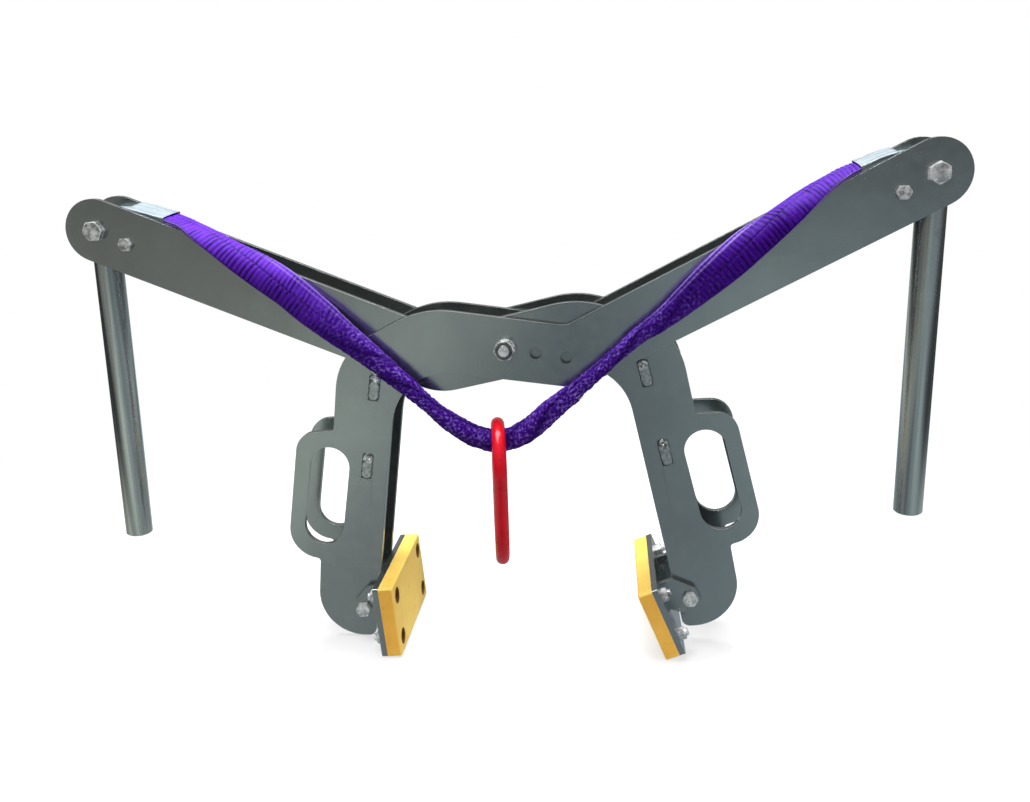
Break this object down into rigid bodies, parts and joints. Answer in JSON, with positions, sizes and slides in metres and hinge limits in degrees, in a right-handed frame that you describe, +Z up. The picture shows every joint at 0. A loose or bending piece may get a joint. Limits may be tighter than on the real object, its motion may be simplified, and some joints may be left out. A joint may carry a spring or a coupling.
{
  "type": "lifting tongs",
  "caption": "Scissor lifting tongs of paired grey steel plates with swivelling yellow gripping pads, hanging tube handles and a slack purple sling carrying a red master link.",
  "frame": {"origin": "middle of the footprint on the floor, with the tongs standing open on their two pads", "axes": "+X to the viewer's right along the span of the arms, +Y from front to rear along the pivot, +Z up"},
  "size_m": [1.1384, 0.2182, 0.6683],
  "materials": {
    "grey_paint": "satin grey paint",
    "weld": "bare weld metal",
    "zinc": "bright zinc plating",
    "tube_steel": "bare drawn tube",
    "bush_steel": "turned steel",
    "pad_yellow": "cast elastomer, satin",
    "sling_purple": "woven polyester",
    "link_red": "gloss red paint"
  },
  "bodies": {
    "right_lever": {"right_lever_front_plate": "grey_paint", "right_lever_rear_plate": "grey_paint", "right_lever_spacers": "grey_paint", "right_lever_plug_welds": "weld", "main_pivot_bolt": "zinc", "main_pivot_nut": "zinc", "main_pivot_washers": "zinc", "main_pivot_bush": "bush_steel", "right_end_bolt": "zinc", "right_end_nut": "zinc", "right_sling_spool": "bush_steel", "right_small_bolt": "zinc", "right_small_nut": "zinc", "right_small_spacer": "bush_steel", "left_pad_pivot_bolt": "zinc", "left_pad_pivot_nut": "zinc", "sling_right_eye": "sling_purple", "sling_right_run": "sling_purple"},
    "left_lever": {"left_lever_front_plate": "grey_paint", "left_lever_rear_plate": "grey_paint", "left_lever_spacers": "grey_paint", "left_lever_plug_welds": "weld", "left_end_bolt": "zinc", "left_end_nut": "zinc", "left_sling_spool": "bush_steel", "left_small_bolt": "zinc", "left_small_nut": "zinc", "left_small_spacer": "bush_steel", "right_pad_pivot_bolt": "zinc", "right_pad_pivot_nut": "zinc", "sling_left_eye": "sling_purple", "sling_left_run": "sling_purple"},
    "left_pad": {"left_pad_block": "pad_yellow", "left_pad_backing_plate": "grey_paint", "left_pad_lugs": "grey_paint", "left_pad_screws": "zinc", "left_pad_screw_nuts": "zinc"},
    "right_pad": {"right_pad_block": "pad_yellow", "right_pad_backing_plate": "grey_paint", "right_pad_lugs": "grey_paint", "right_pad_screws": "zinc", "right_pad_screw_nuts": "zinc"},
    "left_handle": {"left_handle_tube": "tube_steel", "left_tube_yoke": "grey_paint", "left_tube_cap": "tube_steel"},
    "right_handle": {"right_handle_tube": "tube_steel", "right_tube_yoke": "grey_paint", "right_tube_cap": "tube_steel"},
    "sling_middle": {"sling_bight": "sling_purple"},
    "master_link": {"master_link": "link_red"}
  },
  "joints": [
    {"name": "scissor", "type": "hinge", "parent": "right_lever", "child": "left_lever", "pos_m": [0.0081, 0, 0.42016], "axis": [0, 1, 0], "range_deg": [0, 36], "deforming": ["sling_left_run", "sling_right_run", "sling_bight", "sling_left_eye", "sling_right_eye"]},
    {"name": "left_pad_tilt", "type": "hinge", "parent": "right_lever", "child": "left_pad", "pos_m": [-0.20347, -0.00425, 0.04863], "axis": [0, 1, 0], "range_deg": [0, 24]},
    {"name": "right_pad_tilt", "type": "hinge", "parent": "left_lever", "child": "right_pad", "pos_m": [0.2511, 0.00425, 0.06838], "axis": [0, 1, 0], "range_deg": [-3, 21]},
    {"name": "left_handle_swing", "type": "hinge", "parent": "left_lever", "child": "left_handle", "pos_m": [-0.5281, 0.00425, 0.58134], "axis": [0, 1, 0], "range_deg": [-10, 50]},
    {"name": "right_handle_swing", "type": "hinge", "parent": "right_lever", "child": "right_handle", "pos_m": [0.5283, -0.00425, 0.62724], "axis": [0, 1, 0], "range_deg": [-50, 10]},
    {"name": "sling_follow", "type": "hinge", "parent": "right_lever", "child": "sling_middle", "pos_m": [0.0081, 0, 0.42016], "axis": [0, 1, 0], "range_deg": [0, 18]},
    {"name": "link_swing", "type": "hinge", "parent": "sling_middle", "child": "master_link", "pos_m": [-0.00311, -0.0585, 0.29806], "axis": [1, 0, 0], "range_deg": [-40, 40]}
  ],
  "couplings": [
    {"joint": "sling_follow", "follows": "scissor", "ratio": 0.5}
  ]
}
